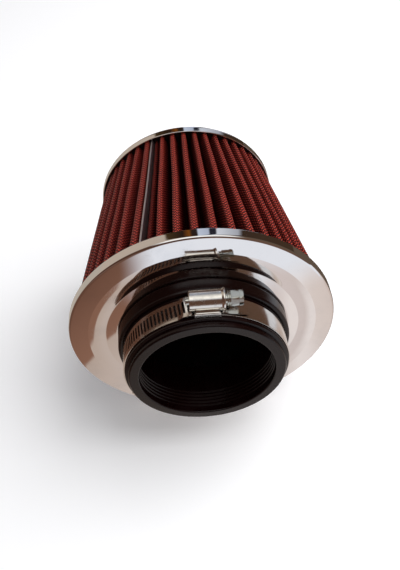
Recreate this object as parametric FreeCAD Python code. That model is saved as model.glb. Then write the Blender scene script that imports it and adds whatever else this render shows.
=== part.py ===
import FreeCAD, Part
import math
import os

# Conical clamp-on air filter, in millimetres.
# The filter's axis is Y: the mouth of the rubber neck faces -Y and lies at y = 0, the cap is at +Y, +Z is up.

# Rubber neck
inlet_bore_r = 38.0        # slips over a 76 mm throttle body or intake pipe
mouth_wall = 5.4           # wall of the rounded lip at the mouth
mouth_lip_step = 0.6       # the lip swells by this much behind its rounded edge
mouth_lip_r = inlet_bore_r + mouth_wall + mouth_lip_step
mouth_edge_y = 0.9
lip_groove_depth = 0.5     # narrow groove between the lip and the clamp seat
clamp_seat_wall = 7.8
clamp_seat_r = inlet_bore_r + clamp_seat_wall
collar_step = 3.3          # stop collar that keeps the clamp off the base plate
collar_r = clamp_seat_r + collar_step
lip_end_y = 2.2
seat_start_y = 3.4
seat_ramp = 0.6
collar_start_y = 20.0
base_face_y = 29.4         # front face of the base plate under the collar
neck_waist_wall = 4.5      # wall where the neck passes through the base plate
root_lip_wall = 10.0       # lip that holds the neck behind the base plate
root_lip_length = 3.0
grip_groove_count = 5      # small grooves in the bore that grip the pipe
grip_groove_pitch = 2.3
grip_groove_width = 1.0
grip_groove_depth = 0.6
first_grip_groove_y = 4.3
lip_round = 0.5
neck_round = 0.4
groove_round = 0.3
collar_round = 1.6
root_round = 1.0

# Base plate, pressed from sheet: a flat ring under the collar, a valley, a low crest and a sloping edge
base_r = 77.0
base_sheet = 0.8
face_ring_margin = 0.9     # the flat ring shows this far round the collar
valley_width = 6.0
valley_back = 1.0          # how far each line of the pressing lies behind the flat ring
crest_width = 5.5
crest_back = 0.15
crest_round = 25.0
crease_width = 4.5
crease_back = 0.28
edge_back = 1.8
base_rim_height = 6.2
base_corner = 1.4
face_ring_round = 1.0
line_round = 2.0           # bends of the valley and the crease
rim_round = 0.3            # edges of the rims of the plate and the cap
potting_round = 0.8

# Cap, pressed from sheet
overall_length = 152.0
cap_r = 57.7
cap_sheet = 0.8
cap_rim_height = 6.1
cap_corner = 2.2
cap_land = 12.7            # flat ring round the shallow panel pressed into the cap
cap_recess_depth = 1.2
cap_recess_slope = 1.2
cap_recess_round = 0.5

# Pleated filter element
pleat_count = 50
pleat_base_gap = 1.7       # from the pleats' tips to the base plate's rim
pleat_cap_gap = 1.2        # from the pleats' tips to the cap's rim
pleat_depth = 14.5
pleat_tip_width = 3.6
pleat_gap_width = 0.8      # gap left between neighbouring pleats at the bottom of the fold
rim_overlap = 1.9          # rims of the plate and cap reach this far over the pleats' ends
screen_wire = 0.2
gauze_thickness = 1.0
seam_angle = 114.0         # from +X towards +Z
seam_strip_width = 1.2
seam_strip_depth = 12.0
seam_pleat_drop = 3.0      # the pleat beside the seam stands lower

# Perforated inner cage
cage_sheet = 0.6
cage_clearance = 0.6
cage_hole_r = 4.2
cage_hole_rows = 8
cage_holes_per_row = 20
cage_hole_shrink = 0.25    # the last row's holes are smaller by about this share
cage_first_row = 0.75      # plain sheet before the first row, in rows
cage_plain_rows = 0.5      # plain sheet at both ends together, less one row

# Worm-drive clamp
clamp_y = 11.5
band_width = 12.7
band_sheet = 0.7
slot_pitch_deg = 3.0
slot_length = 8.0
slot_width = 1.3
slot_tilt_deg = 5.4
saddle_sheet = 0.5
saddle_half_deg = 7.0
ramp_margin_deg = 6.0      # from the saddle to the foot of the strip's ramp, beyond its feed
ramp_run_deg = 4.5
housing_length = 18.6
housing_sheet = 0.8
housing_skirt_height = 1.67 # from the underside of the sliding strip to the skirts' shoulder
housing_skirt_inset = 2.5  # the arch stands this far past the skirts at each end
housing_bead = 0.7
housing_bead_width = 1.4
housing_bead_round = 0.5
worm_room = 1.4            # between the worm's crest and the arch
worm_r = 3.2
worm_core_r = 2.4
worm_pitch = 2.5
worm_length = 15.8
thread_foot_half = 0.75    # half widths of the thread's ridge
thread_crest_half = 0.34
thread_sink = 0.4          # the ridge starts this far inside the core
shank_r = 3.0
pilot_r = 2.3
pilot_overhang = 1.8
screw_collar_r = 4.2
screw_collar_length = 1.9
screw_collar_round = 0.4
head_gap = 0.3             # from the housing's bead to the collar
hex_across_flats = 8.0
hex_length = 6.4
hex_chamfer = 0.5
hex_turn_deg = 12.0
driver_slot_width = 1.2
driver_slot_depth = 2.2
lap_overlap_deg = 10.0     # the loop laps over the back end of the slotted strip
lap_margin_deg = 3.0
lap_ramp_deg = 3.0
strip_back_deg = 215.0
tail_tip_deg = 62.0
tail_plain_deg = 15.5      # no slots this near the tip
tail_taper_deg = 12.0      # the tip narrows over this much
tail_taper = 2.0           # taken off each edge at the tip
tail_travel_deg = 9.2      # furthest that the slotted strip backs out of the housing
tail_feed_deg = 6.2        # furthest that it feeds in

# Fits
touch_gap = 0.03           # pieces that are glued or pressed together
running_gap = 0.08         # screw in its housing
band_gap = 0.15            # between the neck, the loop and the sliding strip
strip_gap = 0.15
skirt_gap = 0.15           # between the band's edges and the housing's skirts
neck_gap = 0.3             # between the housing's skirts and the neck

# Positions that follow from the sizes above
face_ring_r = collar_r + face_ring_margin
valley_r = face_ring_r + valley_width
crest_r = valley_r + crest_width
crease_r = crest_r + crease_width
base_edge_y = base_face_y + edge_back
base_back_y = base_face_y + base_sheet
base_rim_y = base_edge_y + base_rim_height
cap_rim_y = overall_length - cap_rim_height
cap_panel_y = overall_length - cap_recess_depth
element_start_y = base_rim_y - rim_overlap
element_end_y = cap_rim_y + rim_overlap
cap_recess_r = cap_r - cap_land
pleat_base_r = base_r - base_sheet - pleat_base_gap
pleat_cap_r = cap_r - cap_sheet - pleat_cap_gap
cap_scale = pleat_cap_r / pleat_base_r
pleat_deg = 360.0 / pleat_count
element_sheet = 2 * screen_wire + gauze_thickness + 2 * touch_gap

loop_r = clamp_seat_r + band_gap
saddle_r = loop_r + band_sheet + touch_gap
tail_r = saddle_r + saddle_sheet + strip_gap
passage_r = tail_r + band_sheet + strip_gap
lap_r = loop_r + band_sheet + band_gap
worm_z = tail_r + band_sheet + running_gap + worm_r
housing_inner_r = worm_r + worm_room
housing_outer_r = housing_inner_r + housing_sheet
skirt_half = band_width / 2 + skirt_gap + housing_sheet
ramp_foot_deg = 90 + saddle_half_deg + tail_feed_deg + ramp_margin_deg
ramp_top_deg = ramp_foot_deg - ramp_run_deg


def V(x, y, z):
    return FreeCAD.Vector(x, y, z)


def polar(radius, degrees, y):
    """Point at a radius from the filter's axis; the angle runs from +X towards +Z."""
    turn = math.radians(degrees)
    return V(radius * math.cos(turn), y, radius * math.sin(turn))


def rounded_face(corners):
    """Flat face in the XY plane; each corner is (x, y, rounding radius)."""
    edges, starts, ends = [], [], []
    count = len(corners)
    for i, (x, y, radius) in enumerate(corners):
        here = V(x, y, 0)
        if radius == 0:
            starts.append(here)
            ends.append(here)
            continue
        back = V(*corners[i - 1][:2], 0) - here
        ahead = V(*corners[(i + 1) % count][:2], 0) - here
        back.normalize()
        ahead.normalize()
        half = back.getAngle(ahead) / 2
        reach = radius / math.tan(half)
        inward = back + ahead
        inward.normalize()
        middle = here + inward * (radius / math.sin(half) - radius)
        starts.append(here + back * reach)
        ends.append(here + ahead * reach)
        edges.append(Part.Arc(starts[-1], middle, ends[-1]).toShape())
    for i in range(count):
        start, end = ends[i], starts[(i + 1) % count]
        if start.distanceToPoint(end) > 1e-6:
            edges.append(Part.LineSegment(start, end).toShape())
    return Part.Face(Part.Wire(Part.__sortEdges__(edges)))


def turned(corners):
    """Solid of revolution about Y; each corner is (radius, y, rounding radius)."""
    return rounded_face(corners).revolve(V(0, 0, 0), V(0, 1, 0), 360)


def save(shape, node):
    shape.exportStep("parts/" + node + ".step")


# ---------------------------------------------------------------- neck and end pieces

def rubber_neck():
    waist_r = inlet_bore_r + neck_waist_wall
    back_y = base_back_y + touch_gap + root_lip_length
    neck = turned([
        (inlet_bore_r, 0, 0),
        (inlet_bore_r + mouth_wall, 0, lip_round),
        (mouth_lip_r, mouth_edge_y, neck_round),
        (mouth_lip_r, lip_end_y, groove_round),
        (mouth_lip_r - lip_groove_depth, lip_end_y, 0),
        (mouth_lip_r - lip_groove_depth, seat_start_y - seat_ramp, 0),
        (clamp_seat_r, seat_start_y, lip_round),
        (clamp_seat_r, collar_start_y, neck_round),
        (collar_r, collar_start_y, collar_round),
        (collar_r, base_face_y - touch_gap, collar_round),
        (waist_r, base_face_y - touch_gap, 0),
        (waist_r, base_back_y + touch_gap, 0),
        (inlet_bore_r + root_lip_wall, base_back_y + touch_gap, 0),
        (inlet_bore_r + root_lip_wall, back_y, root_round),
        (inlet_bore_r, back_y, root_round),
    ])
    for i in range(grip_groove_count):
        y = first_grip_groove_y + i * grip_groove_pitch
        groove_r = inlet_bore_r + grip_groove_depth
        neck = neck.cut(turned([
            (inlet_bore_r - grip_groove_depth, y - grip_groove_width / 2, 0),
            (groove_r, y - grip_groove_width / 2, groove_round),
            (groove_r, y + grip_groove_width / 2, groove_round),
            (inlet_bore_r - grip_groove_depth, y + grip_groove_width / 2, 0),
        ]))
    return neck


def base_lines(set_back):
    """Corners of the base plate's pressing from the flat ring out to the crease, set back from its front."""
    front = base_face_y + set_back
    return [
        (face_ring_r, front, face_ring_round),
        (valley_r, front + valley_back, line_round),
        (crest_r, front + crest_back, crest_round),
        (crease_r, front + crease_back, line_round),
    ]


def base_flange():
    hole_r = inlet_bore_r + neck_waist_wall + touch_gap
    inner_corner = base_corner - base_sheet
    return turned([
        (hole_r, base_face_y, 0),
        *base_lines(0),
        (base_r, base_edge_y, base_corner),
        (base_r, base_rim_y, rim_round),
        (base_r - base_sheet, base_rim_y, rim_round),
        (base_r - base_sheet, base_edge_y + base_sheet, inner_corner),
        *reversed(base_lines(base_sheet)),
        (hole_r, base_back_y, 0),
    ])


def base_potting():
    """Cast resin ring that fills the dish behind the base plate and holds the element's end."""
    inner_r = inlet_bore_r + root_lip_wall + touch_gap
    rim_r = base_r - base_sheet - touch_gap
    return turned([
        (inner_r, base_back_y + touch_gap, 0),
        *base_lines(base_sheet + touch_gap),
        (rim_r, base_edge_y + base_sheet + touch_gap, base_corner),
        (rim_r, element_start_y - touch_gap, 0),
        (inner_r, element_start_y - touch_gap, potting_round),
    ])


def top_cap():
    inner_corner = cap_corner - cap_sheet
    return turned([
        (cap_r, cap_rim_y, rim_round),
        (cap_r, overall_length, cap_corner),
        (cap_recess_r + cap_recess_slope, overall_length, cap_recess_round),
        (cap_recess_r, cap_panel_y, cap_recess_round),
        (0, cap_panel_y, 0),
        (0, cap_panel_y - cap_sheet, 0),
        (cap_recess_r, cap_panel_y - cap_sheet, cap_recess_round),
        (cap_recess_r + cap_recess_slope, overall_length - cap_sheet, cap_recess_round),
        (cap_r - cap_sheet, overall_length - cap_sheet, inner_corner),
        (cap_r - cap_sheet, cap_rim_y, rim_round),
    ])


def top_potting():
    """Cast resin disc under the cap, which closes and holds the element's narrow end."""
    rim_r = cap_r - cap_sheet - touch_gap
    top_y = overall_length - cap_sheet - touch_gap
    panel_y = cap_panel_y - cap_sheet - touch_gap
    return turned([
        (0, element_end_y + touch_gap, 0),
        (rim_r, element_end_y + touch_gap, 0),
        (rim_r, top_y, cap_corner),
        (cap_recess_r + cap_recess_slope, top_y, cap_recess_round),
        (cap_recess_r, panel_y, cap_recess_round),
        (0, panel_y, 0),
    ])


# ---------------------------------------------------------------- filter element

def fold_points(depth):
    """Corners, at the base end, of the pleated sheet's surface that lies depth inside the outer one."""
    half = math.radians(pleat_deg / 2)
    points = []
    for i in range(pleat_count):
        centre = seam_angle - pleat_deg / 2 - i * pleat_deg
        tip_r = pleat_base_r - (seam_pleat_drop if i == 0 else 0)
        valley_r = pleat_base_r - pleat_depth
        tip = (pleat_tip_width / 2, tip_r)
        gap = pleat_gap_width / 2
        foot = (valley_r * math.sin(half) - gap * math.cos(half),
                valley_r * math.cos(half) + gap * math.sin(half))
        along = (foot[0] - tip[0], foot[1] - tip[1])
        size = math.hypot(*along)
        along = (along[0] / size, along[1] / size)
        start = (tip[0] + along[1] * depth, tip[1] - along[0] * depth)
        # Where the panel, moved inwards, meets the tip's flat and the valley's flat
        to_tip = (tip_r - depth - start[1]) / along[1]
        upper = (start[0] + along[0] * to_tip, tip_r - depth)
        reach = start[0] * math.sin(half) + start[1] * math.cos(half)
        fall = along[0] * math.sin(half) + along[1] * math.cos(half)
        to_valley = (valley_r - depth - reach) / fall
        lower = (start[0] + along[0] * to_valley, start[1] + along[1] * to_valley)
        turn = math.radians(centre)
        for side, corner in ((-1, lower), (-1, upper), (1, upper), (1, lower)):
            across, out = side * corner[0], corner[1]
            points.append((out * math.cos(turn) + across * math.sin(turn),
                           out * math.sin(turn) - across * math.cos(turn)))
    return points


def pleated_tube(outer_depth, inner_depth):
    """Tapering pleated sheet between two depths, with flat panels that narrow towards the cap."""
    faces, ends = [], []
    for y, scale in ((element_start_y, 1.0), (element_end_y, cap_scale)):
        rings = []
        for depth in (outer_depth, inner_depth):
            ring = [V(x * scale, y, z * scale) for x, z in fold_points(depth)]
            rings.append(ring)
        ends.append(rings)
        faces.append(Part.Face([Part.makePolygon(ring + ring[:1]) for ring in rings]))
    for low, high in zip(ends[0], ends[1]):
        for i in range(len(low)):
            j = (i + 1) % len(low)
            faces.append(Part.Face(Part.makePolygon([low[i], low[j], high[j], high[i], low[i]])))
    shell = Part.makeShell(faces)
    shell.sewShape()
    return Part.makeSolid(shell)


def seam_strip():
    """Folded metal strip that joins the two ends of the pleated sheet, standing between two pleats."""
    corners = []
    for y, scale in ((element_start_y, 1.0), (element_end_y, cap_scale)):
        out = polar(1, seam_angle, 0)
        across = polar(1, seam_angle + 90, 0)
        ring = []
        for radius, side in ((pleat_base_r, -1), (pleat_base_r, 1),
                             (pleat_base_r - seam_strip_depth, 1), (pleat_base_r - seam_strip_depth, -1)):
            point = out * (radius * scale) + across * (side * seam_strip_width * scale / 2)
            ring.append(V(point.x, y, point.z))
        corners.append(ring)
    low, high = corners
    faces = [Part.Face(Part.makePolygon(ring + ring[:1])) for ring in corners]
    for i in range(4):
        j = (i + 1) % 4
        faces.append(Part.Face(Part.makePolygon([low[i], low[j], high[j], high[i], low[i]])))
    return Part.makeSolid(Part.makeShell(faces))


def inner_cage():
    """Perforated cone inside the pleats, rolled from sheet."""
    base = pleat_base_r - pleat_depth - element_sheet - cage_clearance
    cap = base * cap_scale
    slope = math.atan((base - cap) / (element_end_y - element_start_y))
    across = cage_sheet / math.cos(slope)
    cage = turned([
        (base - across, element_start_y, 0),
        (base, element_start_y, 0),
        (cap, element_end_y, 0),
        (cap - across, element_end_y, 0),
    ])
    rows = []
    step = (element_end_y - element_start_y) / (cage_hole_rows + cage_plain_rows)
    for row in range(cage_hole_rows):
        y = element_start_y + step * (row + cage_first_row)
        radius = cage_hole_r * (1 - cage_hole_shrink * row / cage_hole_rows)
        for i in range(cage_holes_per_row):
            degrees = (i + 0.5 * (row % 2)) * 360.0 / cage_holes_per_row
            rows.append(Part.makeCylinder(radius, base, polar(cap / 2, degrees, y), polar(1, degrees, 0)))
    return cage.cut(Part.makeCompound(rows))


# ---------------------------------------------------------------- clamp

def band_sector(inner_r, start_deg, end_deg, width=band_width, sheet=band_sheet):
    """Curved strip about the neck, from one angle up to another."""
    low, high = clamp_y - width / 2, clamp_y + width / 2
    outline = Part.makePolygon([V(inner_r, low, 0), V(inner_r + sheet, low, 0),
                                V(inner_r + sheet, high, 0), V(inner_r, high, 0), V(inner_r, low, 0)])
    sector = Part.Face(outline).revolve(V(0, 0, 0), V(0, -1, 0), end_deg - start_deg)
    sector.rotate(V(0, 0, 0), V(0, -1, 0), start_deg)
    return sector


def band_ramp(low_r, low_deg, high_r, high_deg):
    """Short straight stretch of strip that climbs from one radius to another."""
    low, high = clamp_y - band_width / 2, clamp_y + band_width / 2
    corners = [polar(low_r, low_deg, low), polar(low_r + band_sheet, low_deg, low),
               polar(high_r + band_sheet, high_deg, low), polar(high_r, high_deg, low)]
    return Part.Face(Part.makePolygon(corners + corners[:1])).extrude(V(0, high - low, 0))


def clamp_band():
    """Smooth stretch of the band: from under the saddle, round the neck, to its lap on the slotted strip."""
    lap_end = strip_back_deg - lap_overlap_deg
    lap_foot = strip_back_deg + tail_travel_deg + lap_margin_deg
    under_saddle = 360 + 90 + saddle_half_deg
    loop = band_sector(loop_r, lap_foot + lap_ramp_deg, under_saddle)
    step = band_ramp(lap_r, lap_foot, loop_r, lap_foot + lap_ramp_deg)
    return loop.fuse([step, band_sector(lap_r, lap_end, lap_foot)]).removeSplitter()


def slot_cutters(first_deg, last_deg):
    """One tilted slot for every pitch of the worm."""
    cutters = []
    count = int((last_deg - first_deg) / slot_pitch_deg)
    for i in range(count + 1):
        corner = V(-slot_width / 2, -slot_length / 2, -worm_r)
        cutter = Part.makeBox(slot_width, slot_length, 2 * worm_r, corner)
        cutter.rotate(V(0, 0, 0), V(0, 0, 1), slot_tilt_deg)
        cutter.translate(V(0, clamp_y, tail_r))
        cutter.rotate(V(0, 0, 0), V(0, -1, 0), first_deg + i * slot_pitch_deg - 90)
        cutters.append(cutter)
    return Part.makeCompound(cutters)


def clamp_band_tail():
    """Slotted stretch of the band: it lies on the neck, climbs over the saddle and ends past the screw."""
    on_neck = band_sector(loop_r, ramp_foot_deg, strip_back_deg)
    ramp = band_ramp(loop_r, ramp_foot_deg, tail_r, ramp_top_deg)
    raised = band_sector(tail_r, tail_tip_deg, ramp_top_deg)
    strip = on_neck.fuse([ramp, raised]).removeSplitter()
    strip = strip.cut(slot_cutters(tail_tip_deg + tail_plain_deg, strip_back_deg - slot_pitch_deg))
    tip_x = polar(tail_r + 2 * band_sheet, tail_tip_deg, 0).x
    taper_x = polar(tail_r, tail_tip_deg + tail_taper_deg, 0).x
    for side in (-1, 1):
        edge_y = clamp_y + side * band_width / 2
        corners = [V(taper_x, edge_y, 0), V(tip_x, edge_y - side * tail_taper, 0),
                   V(tip_x, edge_y + side, 0), V(taper_x, edge_y + side, 0), V(taper_x, edge_y, 0)]
        strip = strip.cut(Part.Face(Part.makePolygon(corners)).extrude(V(0, 0, passage_r)))
    return strip


def clamp_saddle():
    return band_sector(saddle_r, 90 - saddle_half_deg, 90 + saddle_half_deg,
                       width=2 * (skirt_half - housing_sheet - touch_gap), sheet=saddle_sheet)


def along_x(radius, start, length):
    return Part.makeCylinder(radius, length, V(start, clamp_y, worm_z), V(1, 0, 0))


def clamp_housing():
    """Pressed arch over the worm, with shorter skirts beside the band and an end wall at each side."""
    left = -housing_length / 2
    skirt_left = left + housing_skirt_inset
    skirt_length = housing_length - 2 * housing_skirt_inset
    skirt_top = tail_r + housing_skirt_height
    floor_z = clamp_seat_r - housing_skirt_height
    wall = housing_sheet
    height = skirt_top - floor_z
    skirts = Part.makeBox(skirt_length, 2 * skirt_half, height, V(skirt_left, clamp_y - skirt_half, floor_z))
    upper = [e for e in skirts.Edges if abs(e.BoundBox.ZMin - skirt_top) < 0.01]
    skirts = skirts.makeFillet(wall, upper)
    bead_r = housing_outer_r + housing_bead
    bead = along_x(bead_r, -left - housing_bead_width, housing_bead_width)
    bead = bead.makeFillet(housing_bead_round, [e for e in bead.Edges if e.BoundBox.XLength < touch_gap])
    below = Part.makeBox(housing_length, 4 * bead_r, height, V(0, clamp_y - 2 * bead_r, floor_z))
    bead = bead.cut(below)
    outer = along_x(housing_outer_r, left, housing_length).fuse([skirts, bead])
    arch_room = along_x(housing_inner_r, left + wall, housing_length - 2 * wall)
    skirt_room = Part.makeBox(skirt_length - 2 * wall, 2 * (skirt_half - wall), height - wall,
                              V(skirt_left + wall, clamp_y - skirt_half + wall, floor_z))
    housing = outer.cut(arch_room.fuse(skirt_room))
    housing = housing.cut(along_x(shank_r + running_gap, 0, housing_length))
    housing = housing.cut(along_x(pilot_r + running_gap, -housing_length, housing_length))
    inside_half = skirt_half - wall
    passage = Part.makeCylinder(passage_r, 2 * inside_half, V(0, clamp_y - inside_half, 0), V(0, 1, 0))
    neck_room = Part.makeCylinder(clamp_seat_r + neck_gap, 4 * skirt_half, V(0, clamp_y - 2 * skirt_half, 0),
                                  V(0, 1, 0))
    return housing.cut(passage).cut(neck_room)


def clamp_screw():
    """Worm screw with a slotted hexagon head; it turns in the housing's end walls."""
    start = -worm_length / 2
    helix = Part.makeHelix(worm_pitch, worm_length - worm_pitch, worm_core_r)
    foot_r = worm_core_r - thread_sink
    corners = [V(foot_r, 0, -thread_foot_half), V(worm_r, 0, -thread_crest_half),
               V(worm_r, 0, thread_crest_half), V(foot_r, 0, thread_foot_half)]
    thread = Part.Wire(helix).makePipeShell([Part.makePolygon(corners + corners[:1])], True, True)
    thread.rotate(V(0, 0, 0), V(0, 1, 0), 90)
    thread.translate(V(start + worm_pitch / 2, clamp_y, worm_z))
    head_start = housing_length / 2 + housing_bead + head_gap
    pilot_start = -housing_length / 2 - pilot_overhang
    screw = along_x(worm_core_r, start, worm_length)
    screw = screw.fuse([thread, along_x(shank_r, worm_length / 2, head_start - worm_length / 2),
                        along_x(pilot_r, pilot_start, start - pilot_start), screw_head(head_start)])
    return screw


def screw_head(head_start):
    hex_start = head_start + screw_collar_length
    hex_end = hex_start + hex_length
    corner_r = hex_across_flats / math.sqrt(3)
    turns = [math.radians(60 * i + hex_turn_deg) for i in range(6)]
    corners = [V(hex_start, clamp_y + corner_r * math.cos(t), worm_z + corner_r * math.sin(t)) for t in turns]
    hexagon = Part.Face(Part.makePolygon(corners + corners[:1])).extrude(V(hex_length, 0, 0))
    envelope = along_x(corner_r + touch_gap, hex_start, hex_length)
    end_edges = [e for e in envelope.Edges if e.BoundBox.XMin > hex_end - touch_gap]
    envelope = envelope.makeChamfer(hex_chamfer, end_edges)
    slot_corner = V(hex_end - driver_slot_depth, clamp_y - hex_across_flats, worm_z - driver_slot_width / 2)
    slot = Part.makeBox(driver_slot_depth, 2 * hex_across_flats, driver_slot_width, slot_corner)
    collar = along_x(screw_collar_r, head_start, screw_collar_length)
    ends = [e for e in collar.Edges if e.BoundBox.XLength < touch_gap]
    return hexagon.common(envelope).cut(slot).fuse(collar.makeFillet(screw_collar_round, ends))


def main():
    os.makedirs("parts", exist_ok=True)
    save(rubber_neck(), "rubber_neck")
    save(base_flange(), "base_flange")
    save(base_potting(), "base_potting")
    save(top_cap(), "top_cap")
    save(top_potting(), "top_potting")

    outer_end = screen_wire
    gauze_start = outer_end + touch_gap
    gauze_end = gauze_start + gauze_thickness
    save(pleated_tube(0, outer_end), "outer_screen")
    save(pleated_tube(gauze_start, gauze_end), "pleated_gauze")
    save(pleated_tube(gauze_end + touch_gap, element_sheet), "inner_screen")
    save(seam_strip(), "seam_strip")
    save(inner_cage(), "inner_cage")

    save(clamp_band(), "clamp_band")
    save(clamp_band_tail(), "clamp_band_tail")
    save(clamp_saddle(), "clamp_saddle")
    save(clamp_housing(), "clamp_housing")
    save(clamp_screw(), "clamp_screw")


main()
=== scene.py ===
import bpy
import numpy as np
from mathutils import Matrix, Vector


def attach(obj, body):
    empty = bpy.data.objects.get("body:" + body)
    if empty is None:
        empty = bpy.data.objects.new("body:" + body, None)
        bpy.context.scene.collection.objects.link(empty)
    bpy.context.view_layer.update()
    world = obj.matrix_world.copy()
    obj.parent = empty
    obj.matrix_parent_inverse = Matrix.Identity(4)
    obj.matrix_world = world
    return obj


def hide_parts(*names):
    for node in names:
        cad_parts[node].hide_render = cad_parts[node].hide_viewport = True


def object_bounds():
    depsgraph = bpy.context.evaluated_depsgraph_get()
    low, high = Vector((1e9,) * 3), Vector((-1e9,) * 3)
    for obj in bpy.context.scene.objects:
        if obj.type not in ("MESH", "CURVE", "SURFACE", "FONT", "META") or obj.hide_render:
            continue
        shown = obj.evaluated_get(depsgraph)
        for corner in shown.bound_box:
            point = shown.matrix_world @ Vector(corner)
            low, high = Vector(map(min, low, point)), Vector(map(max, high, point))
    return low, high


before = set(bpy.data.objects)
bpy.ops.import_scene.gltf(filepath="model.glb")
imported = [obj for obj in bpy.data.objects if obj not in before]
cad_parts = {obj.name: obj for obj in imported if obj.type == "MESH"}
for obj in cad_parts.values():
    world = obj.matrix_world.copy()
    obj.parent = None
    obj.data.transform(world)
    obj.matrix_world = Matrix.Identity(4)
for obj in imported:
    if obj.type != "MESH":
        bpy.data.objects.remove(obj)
cad_low, cad_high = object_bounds()


# ---- Camera -------------------------------------------------------------------------------
# A steep three-quarter look down on the filter, which lies with its mouth towards the viewer.
look_at = Vector((0.0014, 0.0640, 0.0036))
camera_azimuth = np.radians(-5.24)
camera_elevation = np.radians(48.4)
camera_distance = 0.4271
towards_camera = Vector((
    np.sin(camera_azimuth) * np.cos(camera_elevation),
    -np.cos(camera_azimuth) * np.cos(camera_elevation),
    np.sin(camera_elevation),
))
camera = bpy.data.objects.new("camera", bpy.data.cameras.new("camera"))
camera.data.lens = 44.2
camera.data.clip_start = 0.01
camera.location = look_at + towards_camera * camera_distance
camera.rotation_euler = (-towards_camera).to_track_quat("-Z", "Y").to_euler()
bpy.context.scene.collection.objects.link(camera)
bpy.context.scene.camera = camera
bpy.context.scene.view_settings.view_transform = "Standard"


# ---- Floor --------------------------------------------------------------------------------
# A plain pale sheet that the filter's wide rim rests on. It is flat and so large that its edge isn't seen.
class Nodes:
    """Short calls that add a node to one tree and link it; every argument is a number or an output socket."""

    def __init__(self, tree):
        self.tree = tree

    def add(self, kind, inputs=(), **settings):
        node = self.tree.nodes.new(kind)
        for key, value in settings.items():
            setattr(node, key, value)
        for key, value in dict(inputs).items():
            self.put(node.inputs[key], value)
        return node

    def put(self, socket, value):
        if isinstance(value, bpy.types.NodeSocket):
            self.tree.links.new(value, socket)
        elif socket.type == "RGBA" and len(value) == 3:
            socket.default_value = (*value, 1)
        else:
            socket.default_value = value

    def math(self, operation, a, b=0.0, c=0.0):
        return self.add("ShaderNodeMath", {0: a, 1: b, 2: c}, operation=operation).outputs[0]

    def ramp(self, value, low, high, out_low=0.0, out_high=1.0, kind="SMOOTHSTEP"):
        return self.add("ShaderNodeMapRange", {
            "Value": value, "From Min": low, "From Max": high, "To Min": out_low, "To Max": out_high,
        }, interpolation_type=kind).outputs[0]

    def mix(self, share, a, b, blend="MIX"):
        return self.add("ShaderNodeMix", {0: share, 6: a, 7: b}, data_type="RGBA", blend_type=blend).outputs[2]

    def bands(self, value, stops):
        """Display colours at given values, joined by straight blends."""
        low, high = stops[0][0], stops[-1][0]
        node = self.add("ShaderNodeValToRGB", {0: self.ramp(value, low, high, kind="LINEAR")})
        while len(node.color_ramp.elements) < len(stops):
            node.color_ramp.elements.new(0.5)
        for element, (position, color) in zip(node.color_ramp.elements, stops):
            element.position = (position - low) / (high - low)
            element.color = (*from_screen(*color), 1)
        return node.outputs[0]

    def split(self, vector):
        return self.add("ShaderNodeSeparateXYZ", {0: vector}).outputs[:3]

    def place(self):
        return self.add("ShaderNodeTexCoord").outputs["Object"]

    def stretch(self, vector, by):
        return self.add("ShaderNodeVectorMath", {0: vector, 1: by}, operation="MULTIPLY").outputs[0]

    def noise(self, vector, scale, detail=3.0, roughness=0.5):
        return self.add("ShaderNodeTexNoise", {
            "Vector": vector, "Scale": scale, "Detail": detail, "Roughness": roughness}).outputs[0]

    def bump(self, height, distance, strength=1.0, normal=None):
        node = self.add("ShaderNodeBump", {"Height": height, "Distance": distance, "Strength": strength})
        if normal is not None:
            self.put(node.inputs["Normal"], normal)
        return node.outputs[0]


def painted(name, **inputs):
    """New Principled material; an underscore in an input's name stands for a space. Returns the material and
    calls that add nodes to it, with its shader."""
    material = bpy.data.materials.new(name)
    material.use_nodes = True
    nodes = Nodes(material.node_tree)
    nodes.shader = material.node_tree.nodes["Principled BSDF"]
    for label, value in inputs.items():
        nodes.put(nodes.shader.inputs[label.replace("_", " ")], value)
    return material, nodes


def grid_mesh(name, points, wrap_rows=False, wrap_columns=False, uv=None, ends=False):
    """Smooth mesh over a (rows, columns, 3) array: every four neighbouring points make one face.
    wrap joins the last row or column to the first, ends closes the first and last row with a fan of
    triangles round its middle, and uv is a (rows, columns, 2) array."""
    points = np.asarray(points, float)
    rows, columns = points.shape[:2]
    index = np.arange(rows * columns).reshape(rows, columns)
    below = np.roll(index, -1, 0) if wrap_rows else index[1:]
    index = index if wrap_rows else index[:-1]
    if wrap_columns:
        quads = np.stack([index, np.roll(index, -1, 1), np.roll(below, -1, 1), below], -1)
    else:
        quads = np.stack([index[:, :-1], index[:, 1:], below[:, 1:], below[:, :-1]], -1)
    faces = quads.reshape(-1, 4).tolist()
    places = points.reshape(-1, 3)
    if ends:
        last = len(places)
        around = np.arange(columns)
        faces += np.c_[np.full(columns, last), np.roll(around, -1), around].tolist()
        around += last - columns
        faces += np.c_[np.full(columns, last + 1), around, np.roll(around, -1)].tolist()
        places = np.vstack([places, points[0].mean(0), points[-1].mean(0)])
    mesh = bpy.data.meshes.new(name)
    mesh.from_pydata(places, [], faces)
    mesh.polygons.foreach_set("use_smooth", np.ones(len(faces), bool))
    mesh.set_sharp_from_angle(angle=np.radians(35))
    if uv is not None:
        layer = mesh.uv_layers.new(name="cloth")
        loops = np.empty(len(mesh.loops), np.int32)
        mesh.loops.foreach_get("vertex_index", loops)
        layer.data.foreach_set("uv", np.asarray(uv, np.float32).reshape(-1, 2)[loops].ravel())
    mesh.update()
    piece = bpy.data.objects.new(name, mesh)
    bpy.context.scene.collection.objects.link(piece)
    return piece


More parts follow.
